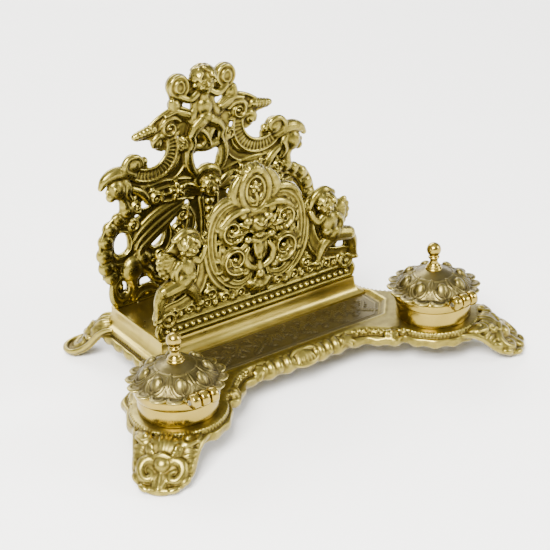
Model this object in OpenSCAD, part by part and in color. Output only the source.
// Brass inkstand with two lidded inkwells, a pen recess and a letter rack.
// +Z is up, -Y is the side the writer sits at, and the feet stand on z = 0.

/* [Tray] */
// Height of the ledge that the inkwells stand on
ledge_z = 25.5; // [24:0.5:27]
// Height of the pen recess floor
recess_z = 23; // [22:0.5:23.5]
// Underside of the outer lip
lip_z = 15; // [14:0.5:16]
// Thickness of the casting
tray_wall = 2.6; // [2.2:0.1:3]
// Half width of the tray between its feet
side_x = 91; // [89:1:93]
// Front edge of the lip
front_y = -46; // [-47:1:-45]
// Rear edge of the lip
rear_y = 85; // [84:1:88]

/* [Letter rack] */
// Height of the plinth top
plinth_z = 36.5; // [35:0.5:38]
// Half width of the plinth top
plinth_x = 80; // [79:1:81]
// Front face of the plinth
plinth_front_y = 6; // [5:0.5:6.5]
// Rear edge of the plinth top
plinth_rear_y = 75; // [74:0.5:76]
// Middle plane of the front panel
front_panel_y = 10; // [9.5:0.5:11]
// Middle plane of the rear panel
rear_panel_y = 69.5; // [68:0.5:70.5]
// Thickness of the panels' pierced plate
panel_t = 5; // [4:0.5:6]

/* [Inkwells] */
// Distance of each inkwell from the middle of the tray
well_x = 103; // [101:0.5:105]
// Position of the inkwells from front to back
well_y = -53; // [-55:0.5:-52]
// Outside radius of a cup
cup_r = 26; // [25.5:0.25:26.5]
// Wall of a cup
cup_wall = 1.5; // [1.2:0.1:1.8]
// Height of the middle of the rolled rim
rim_z = 42.8; // [42:0.2:43]

/* [Hidden] */
$fn = 64;

// Outline of the tray
ear_r = 33.5;
shoulder_x = 109;
shoulder_y = -28;
shoulder_r = 18.5;
cove_r = 34;
cove_x = side_x + cove_r;
cove_y = 22;
cusp_x = 60;
cusp_y = -59;
border_w = 7;
lip_t = 3.4;

// Pen recess
recess_x = 84;
recess_front_y = -30;
recess_rear_y = 4;
recess_bevel = 5;

// Front feet, swept about the middle of an inkwell
foot_top_r = 26.2;
foot_bend_r = 40;
toe_in_r = 51;
toe_out_r = 62;
foot_half_deg = 54;
foot_half_w = 20;
foot_flare = 11;
toe_round_r = 19;
toe_reach = 43;

// Rear feet, swept about a point inside each rear corner
rear_foot_x = 74;
rear_foot_y = 69;
rear_foot_top_r = 12.3;
rear_foot_bend_r = 22;
rear_toe_in_r = 36;
rear_toe_out_r = 45;
rear_toe_round_r = 10.4;
rear_toe_reach = 35.4;
rear_foot_half_deg = 46;
rear_foot_half_w = 10.2;
rear_foot_flare = 2;

// Panel screws, set a little way in from the planes of the panels
screw_x = 62;
front_screw_y = front_panel_y + 1.4;
rear_screw_y = rear_panel_y - 0.9;
washer_r = 3.2;
washer_pocket_r = 3.5;
screw_r = 1.5;
screw_hole_r = 1.55;
clear_hole_r = 1.8;
washer_t = 0.8;
base_z = 47;
base_t = 7;

// Inkwell pieces
cup_floor = 2;
cup_in_r = cup_r - cup_wall;
rim_r = 1.9;
rim_top = rim_z + rim_r;
bolt_r = 2;
bolt_hole_r = 2.2;
lid_z = rim_top + 0.4;
lid_t = 1.6;
lid_plate_r = 29;
scallop_r = 5.4;
scallop_ring_r = 27;
scallops = 16;
boss_r = 2.6;
boss_ring_r = 20.5;
bosses = 8;
dome_top = 59;
knob_z = 73;
knob_r = 4.9;
stud_r = 1.6;
knob_nut_t = 2.3;
knob_nut_z = 53.1;

// Hinge, placed from the middle of its inkwell
hinge_y = -31.4;
hinge_z = 46.6;
knuckle_r = 4.6;
knuckle_half = 9.6;
middle_half = 3.2;
knuckle_gap = 0.3;
pin_r = 1.6;
pin_cup_r = 1.62;
pin_lid_r = 1.66;

brass = "#b5a045";
dull_brass = "#85753a";
steel = "#8d8f86";
glass = "#cfd8cc";

function arc(cx, cy, r, a0, a1, n) =
    [for (i = [0:n]) [cx + r * cos(a0 + (a1 - a0) * i / n), cy + r * sin(a0 + (a1 - a0) * i / n)]];

// Half outline (x, z) of the rear panel, from its foot to the crown
rear_half = [
    [80, 36.6], [80, 45], [82, 54], [89, 61], [92.5, 70], [92.5, 79], [88, 89], [83, 98],
    [76, 104.5], [67, 107.5], [65, 112], [71, 114], [78, 121], [82.5, 129], [79, 134], [70, 136],
    [63, 134], [63, 140], [58, 144], [51, 143], [47, 137], [42, 132], [36, 131], [32, 135],
    [31, 141], [37, 142], [41, 146], [40, 151], [44, 154], [54, 155], [53, 158], [44, 160],
    [36, 165], [27, 168], [24, 173], [27, 181], [24, 188], [12, 189], [0, 190]
];

// Half outline (x, z) of the front panel, from its foot to the cartouche
front_half = [
    [78, 36.6], [77, 44], [81, 52], [76, 64], [69, 73], [62, 76], [66, 84], [70, 92], [66, 100],
    [58, 107], [50, 109], [44, 105], [40, 98], [37, 105], [34, 112], [28, 118], [20, 120], [12, 119]
];

// Holes (x, z) cut through the right half of the rear panel, repeated on the left
rear_holes = [
    [[15, 97], [25, 103], [34, 98], [27, 83], [22, 92]],
    [[37, 83], [44, 74], [49, 82], [42, 88]],
    [[66, 76], [75, 77], [75, 85], [68, 91]],
    [[46, 52], [62, 47], [60, 53], [50, 58]],
    [[31, 115], [36, 115], [37, 121], [31, 121]],
    [[14, 54], [32, 52], [36, 62], [22, 70]]
];
rear_round_holes = [[12, 169, 3], [24, 148, 3.4], [51, 107, 3.2]];

// Holes (x, z) cut through the right half of the front panel, repeated on the left
front_holes = [
    [[17, 107], [26, 104], [25, 112], [19, 114]],
    [[10, 74], [22, 78], [26, 88], [16, 84]],
    [[10, 60], [20, 57], [30, 60], [20, 65]],
    [[38, 60], [46, 58], [52, 54], [36, 53]]
];

function flip(points) = [for (i = [len(points) - 1:-1:0]) [-points[i][0], points[i][1]]];

module tray_plan(inset) {
    translate([-side_x + inset, front_y + inset])
        square([2 * (side_x - inset), rear_y - front_y - 2 * inset]);
    for (side = [-1, 1]) {
        translate([side * well_x, well_y]) circle(r = ear_r - inset, $fn = 96);
        translate([side * shoulder_x, shoulder_y]) circle(r = shoulder_r - inset);
        neck(side, inset);
        cusp(side, inset);
    }
}

// Concave stretch of the outline between the straight side and an inkwell's ledge
module neck(side, inset) {
    cove = arc(cove_x, cove_y, cove_r + inset, 180, 246, 10);
    polygon(concat(
        [[side * (side_x - 12), cove_y - 0.5]], [for (p = cove) [side * p[0], p[1]]],
        [[side * shoulder_x, shoulder_y], [side * (side_x - 12), well_y]]
    ));
}

module cusp(side, inset) {
    polygon([
        [side * (cusp_x - 18), front_y + 12], [side * (cusp_x - 13), front_y + inset],
        [side * (cusp_x - 5), front_y - 7 + inset], [side * cusp_x, cusp_y + inset],
        [side * (cusp_x + 8), cusp_y - 2.5 + inset], [side * (cusp_x + 15), cusp_y + 12]
    ]);
}

module recess_plan(grow) {
    polygon([
        [-recess_x - grow, recess_rear_y], [recess_x + grow, recess_rear_y],
        [recess_x + grow, recess_front_y + 14 - grow], [recess_x - 12 + grow, recess_front_y - grow],
        [-recess_x + 12 - grow, recess_front_y - grow], [-recess_x - grow, recess_front_y + 14 - grow]
    ]);
}

// Side profile (distance, height) of the plinth, with a cove down to the ledge
function plinth_profile(half, base, inset) = concat(
    [[-half - base + inset, ledge_z - tray_wall], [-half - base + inset, ledge_z - inset]],
    arc(-half - base + inset, plinth_z - 3 - inset, base, -90, 0, 6),
    [[-half + inset, plinth_z - inset], [half - inset, plinth_z - inset]],
    arc(half + base - inset, plinth_z - 3 - inset, base, 180, 270, 6),
    [[half + base - inset, ledge_z - inset], [half + base - inset, ledge_z - tray_wall]]
);

module plinth_block(inset) {
    mid_y = (plinth_front_y + plinth_rear_y) / 2;
    half_y = (plinth_rear_y - plinth_front_y) / 2;
    intersection() {
        translate([0, rear_y, 0])
            rotate([90, 0, 0])
                linear_extrude(rear_y - recess_rear_y)
                    polygon(plinth_profile(plinth_x, 8, inset));
        translate([-side_x, mid_y, 0])
            rotate([90, 0, 90])
                linear_extrude(2 * side_x)
                    polygon(plinth_profile(half_y, 8, inset));
        translate([-side_x, plinth_front_y + inset, ledge_z - tray_wall])
            cube([2 * side_x, rear_y - plinth_front_y - inset, 20]);
    }
}

// A foot: a shell swept about the point it hangs from, trimmed to a rounded tongue
module swept_foot(top_r, bend_r, in_r, out_r, half_deg, half_w, flare, round_r, reach) {
    intersection() {
        rotate([0, 0, -half_deg])
            rotate_extrude(angle = 2 * half_deg, $fn = 96)
                polygon([
                    [top_r, ledge_z - tray_wall], [top_r + 2, ledge_z - 1.6], [bend_r, 19], [bend_r + 5, 13],
                    [out_r - 2, 5], [out_r, 3], [out_r - 1, 0], [in_r, 0], [bend_r, 8], [bend_r - 5, 14],
                    [top_r, lip_z - 0.6]
                ]);
        linear_extrude(ledge_z) {
            polygon([[0, -half_w - flare], [reach, -half_w], [reach, half_w], [0, half_w + flare]]);
            translate([reach, 0]) circle(r = round_r);
        }
    }
}

module foot_pad(side) {
    translate([side * well_x, well_y, 0])
        rotate([0, 0, side > 0 ? -46 : 226])
            swept_foot(foot_top_r, foot_bend_r, toe_in_r, toe_out_r, foot_half_deg,
                foot_half_w, foot_flare, toe_round_r, toe_reach);
}

module rear_foot(side) {
    translate([side * rear_foot_x, rear_foot_y, 0])
        rotate([0, 0, side > 0 ? 42 : 138])
            swept_foot(rear_foot_top_r, rear_foot_bend_r, rear_toe_in_r, rear_toe_out_r, rear_foot_half_deg,
                rear_foot_half_w, rear_foot_flare, rear_toe_round_r, rear_toe_reach);
}

module tray() {
    color(brass)
        difference() {
            union() {
                translate([0, 0, lip_z]) linear_extrude(lip_t) tray_plan(0);
                translate([0, 0, lip_z]) linear_extrude(ledge_z - 4.5 - lip_z) tray_plan(border_w / 2);
                translate([0, 0, lip_z]) linear_extrude(ledge_z - lip_z) tray_plan(border_w);
                plinth_block(0);
                for (side = [-1, 1]) {
                    foot_pad(side);
                    rear_foot(side);
                }
            }
            translate([0, 0, lip_z - 1])
                linear_extrude(recess_z - tray_wall - lip_z + 1) tray_plan(border_w + 2);
            for (side = [-1, 1])
                translate([side * well_x, well_y, lip_z - 1])
                    cylinder(r = 24, h = ledge_z - tray_wall - lip_z + 1);
            plinth_hollow();
            translate([0, 0, recess_z]) linear_extrude(10) recess_plan(0);
            translate([0, 0, recess_z + 1.2]) linear_extrude(10) recess_plan(recess_bevel);
            for (side = [-1, 1]) {
                translate([side * well_x, well_y, lip_z - 1]) cylinder(r = bolt_hole_r, h = 20);
                for (y = [front_screw_y, rear_screw_y])
                    translate([side * screw_x, y, lip_z - 1]) {
                        cylinder(r = clear_hole_r, h = 30);
                        cylinder(r = washer_pocket_r, h = plinth_z - tray_wall - lip_z + 1);
                    }
            }
        }
}

module plinth_hollow() {
    translate([-plinth_x + tray_wall, plinth_front_y + tray_wall, lip_z - 1])
        cube([
            2 * (plinth_x - tray_wall), plinth_rear_y - plinth_front_y - 2 * tray_wall,
            plinth_z - tray_wall - lip_z + 1
        ]);
}

module upright(y, t) {
    translate([0, y + t / 2, 0]) rotate([90, 0, 0]) linear_extrude(t) children();
}

module base_strip(y, screw_y, half) {
    difference() {
        translate([-half, y - base_t / 2, plinth_z]) cube([2 * half, base_t, base_z - plinth_z]);
        for (side = [-1, 1])
            translate([side * screw_x, screw_y, plinth_z - 1]) cylinder(r = screw_hole_r, h = 8.5);
    }
}

module pierced(y, outline, holes, round_holes) {
    upright(y, panel_t)
        difference() {
            polygon(concat(outline, flip(outline)));
            for (side = [-1, 1]) {
                for (hole = holes)
                    polygon([for (p = hole) [side * p[0], p[1]]]);
                for (hole = round_holes)
                    translate([side * hole[0], hole[1]]) circle(r = hole[2]);
            }
            translate([-screw_x - 5, 0]) square([10, base_z - 0.5]);
            translate([screw_x - 5, 0]) square([10, base_z - 0.5]);
        }
}

module knob_row(y, z, half, pitch, r) {
    for (x = [-half:pitch:half]) translate([x, y, z]) sphere(r = r, $fn = 20);
}

module rear_panel() {
    color(brass) {
        pierced(rear_panel_y, rear_half, rear_holes, rear_round_holes);
        base_strip(rear_panel_y, rear_screw_y, 79);
        for (side = [-1, 1]) {
            translate([side * 18.5, rear_panel_y + 4, 184])
                rotate([90, 0, 0]) cylinder(r = 8.4, h = 8);
            translate([side * 57, rear_panel_y, 138]) sphere(r = 6.4, $fn = 32);
            ring(side * 64, rear_panel_y, 82, 14, 3);
        }
        translate([0, rear_panel_y - 1, 184.5]) sphere(r = 9.6, $fn = 40);
        translate([0, rear_panel_y - 1, 109]) sphere(r = 8, $fn = 40);
    }
}

module ring(x, y, z, r, wire) {
    translate([x, y, z])
        rotate([90, 0, 0])
            rotate_extrude($fn = 48)
                translate([r, 0]) circle(r = wire, $fn = 16);
}

module front_panel() {
    color(brass) {
        pierced(front_panel_y, front_half, front_holes, []);
        base_strip(front_panel_y, front_screw_y, 77);
        knob_row(front_panel_y - base_t / 2, 42, 72, 4.8, 1.6);
        for (side = [-1, 1]) {
            ring(side * 18.5, front_panel_y, 86, 14.5, 3.2);
            translate([side * 54, front_panel_y - 2, 99]) sphere(r = 8.5, $fn = 32);
            translate([side * 60, front_panel_y - 2, 80]) sphere(r = 7.5, $fn = 32);
        }
        translate([0, front_panel_y + 3.5, 124])
            rotate([90, 0, 0]) cylinder(r = 14, h = 7);
        translate([0, front_panel_y - 2, 98]) sphere(r = 7, $fn = 32);
    }
}

module panel_screws(y) {
    color(steel)
        for (side = [-1, 1])
            translate([side * screw_x, y, plinth_z - tray_wall - washer_t]) {
                cylinder(r = screw_r, h = 8 + washer_t + tray_wall - 1.2);
                difference() {
                    translate([0, 0, -2]) cylinder(r = 3, h = 2);
                    translate([-4, -0.4, -2.5]) cube([8, 0.8, 1.3]);
                }
            }
}

module panel_washers(y) {
    color(steel)
        for (side = [-1, 1])
            translate([side * screw_x, y, plinth_z - tray_wall - washer_t])
                washer(washer_r, clear_hole_r, washer_t);
}

module washer(r, hole, t) {
    difference() {
        cylinder(r = r, h = t);
        translate([0, 0, -1]) cylinder(r = hole, h = t + 2);
    }
}

module nut(across_flats, hole, t) {
    difference() {
        cylinder(r = across_flats / 2 / cos(30), h = t, $fn = 6);
        translate([0, 0, -1]) cylinder(r = hole, h = t + 2);
    }
}

module at_well(side) {
    translate([side * well_x, well_y, 0]) children();
}

// A cylinder along X about the hinge axis
module barrel(x0, x1, r) {
    translate([x0, hinge_y, hinge_z]) rotate([0, 90, 0]) cylinder(r = r, h = x1 - x0);
}

module cup(side) {
    color(brass) at_well(side)
        difference() {
            union() {
                rotate_extrude($fn = 96) {
                    translate([0, ledge_z]) square([cup_r, rim_z - ledge_z]);
                    translate([cup_r - 0.2, rim_z]) circle(r = rim_r, $fn = 32);
                }
                for (end = [-1, 1]) outer_knuckle(end);
            }
            translate([0, 0, ledge_z + cup_floor]) cylinder(r = cup_in_r, h = 30, $fn = 96);
            translate([0, 0, ledge_z - 1]) cylinder(r = bolt_hole_r, h = 5);
            barrel(-knuckle_half - 1, knuckle_half + 1, pin_cup_r);
            barrel(-middle_half - knuckle_gap, middle_half + knuckle_gap, knuckle_r + 0.5);
        }
}

module outer_knuckle(end) {
    x0 = end > 0 ? middle_half + knuckle_gap : -knuckle_half;
    width = knuckle_half - middle_half - knuckle_gap;
    barrel(x0, x0 + width, knuckle_r);
    translate([x0, hinge_y, hinge_z - 9]) cube([width, 7.2, 6]);
}

module well_screw(side) {
    color(steel) at_well(side) {
        translate([0, 0, ledge_z + cup_floor])
            difference() {
                cylinder(r = 4.2, h = 2);
                translate([-5, -0.5, 1]) cube([10, 1, 2]);
            }
        translate([0, 0, 16.6]) cylinder(r = bolt_r, h = ledge_z + cup_floor - 16.6);
    }
}

module well_washer(side) {
    color(steel) at_well(side)
        translate([0, 0, ledge_z - tray_wall - 1]) washer(5.2, bolt_hole_r, 1);
}

module well_nut(side) {
    color(steel) at_well(side)
        translate([0, 0, ledge_z - tray_wall - 4.4]) nut(7, bolt_r + 0.05, 3.4);
}

module liner(side) {
    color(glass) at_well(side)
        rotate_extrude($fn = 96)
            polygon([
                [6, ledge_z + cup_floor], [23, ledge_z + cup_floor], [23.6, ledge_z + cup_floor + 1],
                [23.6, 42.6], [23, 43.2], [22, 43.2], [21.4, 42.6], [21.4, 34], [18, 31.6], [0, 31.6],
                [0, 30], [6, 30]
            ]);
}

module lid(side) {
    color(dull_brass) at_well(side) {
        difference() {
            union() {
                lid_dome();
                for (i = [0:scallops - 1])
                    rotate([0, 0, (i + 0.5) * 360 / scallops])
                        translate([scallop_ring_r, 0, lid_z + 0.2])
                            cylinder(r = scallop_r, h = lid_t, $fn = 24);
                for (i = [0:bosses - 1])
                    rotate([0, 0, (i + 0.5) * 360 / bosses])
                        translate([boss_ring_r, 0, 52.2]) sphere(r = boss_r, $fn = 24);
            }
            barrel(-knuckle_half - 0.4, knuckle_half + 0.4, knuckle_r + 0.5);
            translate([-knuckle_half - 0.4, hinge_y - 8, lid_z - 1])
                cube([2 * knuckle_half + 0.8, 8, 8]);
            translate([0, 0, 50]) cylinder(r = stud_r + 0.1, h = 20);
            translate([0, 0, lid_z - 2]) rotate_extrude($fn = 96) lid_inside();
        }
        difference() {
            union() {
                barrel(-middle_half, middle_half, knuckle_r);
                translate([-middle_half, hinge_y, lid_z + 0.3])
                    cube([2 * middle_half, 8, 3]);
            }
            barrel(-middle_half - 1, middle_half + 1, pin_lid_r);
        }
    }
}

module lid_dome() {
    rotate_extrude($fn = 96)
        polygon([
            [0, lid_z], [22, lid_z], [22, lid_z - 1.2], [23.6, lid_z - 1.2], [23.6, lid_z],
            [lid_plate_r, lid_z], [lid_plate_r, lid_z + lid_t], [26, 48.6], [23, 51.4], [18, 54],
            [12, 56.6], [7, 58.4], [4, dome_top], [0, dome_top]
        ]);
}

module lid_inside() {
    polygon([
        [0, 0], [21, 0], [21, 3], [19, 5], [16, 7.6], [11, 10], [6, 12], [4, 12.4], [0, 12.4]
    ]);
}

module lid_knob(side) {
    color(brass) at_well(side) {
        rotate_extrude($fn = 64)
            polygon(concat(
                [[0, knob_nut_z - 0.6], [stud_r, knob_nut_z - 0.6], [stud_r, dome_top], [5.4, dome_top], [5.6, 60]],
                [[4.6, 61.4], [3.2, 62.6], [2.6, 64.5], [2.7, 66.4], [3.5, 67.2], [3.5, 68.4], [2.6, 69]],
                arc(0, knob_z, knob_r, -58, 90, 14)
            ));
    }
}

module knob_nut(side) {
    color(steel) at_well(side) translate([0, 0, knob_nut_z]) nut(5.5, stud_r + 0.05, knob_nut_t);
}

module hinge_pin(side) {
    color(steel) at_well(side) {
        barrel(-knuckle_half - 0.6, knuckle_half + 1.4, pin_r);
    }
}

tray();
rear_panel();
front_panel();
panel_screws(rear_screw_y);  // rear_panel_screws
panel_washers(rear_screw_y);  // rear_panel_washers
panel_screws(front_screw_y);  // front_panel_screws
panel_washers(front_screw_y);  // front_panel_washers
cup(-1);  // left_cup
well_screw(-1);  // left_well_screw
well_washer(-1);  // left_well_washer
well_nut(-1);  // left_well_nut
liner(-1);  // left_liner
lid(-1);  // left_lid
lid_knob(-1);  // left_lid_knob
knob_nut(-1);  // left_knob_nut
hinge_pin(-1);  // left_hinge_pin
cup(1);  // right_cup
well_screw(1);  // right_well_screw
well_washer(1);  // right_well_washer
well_nut(1);  // right_well_nut
liner(1);  // right_liner
lid(1);  // right_lid
lid_knob(1);  // right_lid_knob
knob_nut(1);  // right_knob_nut
hinge_pin(1);  // right_hinge_pin
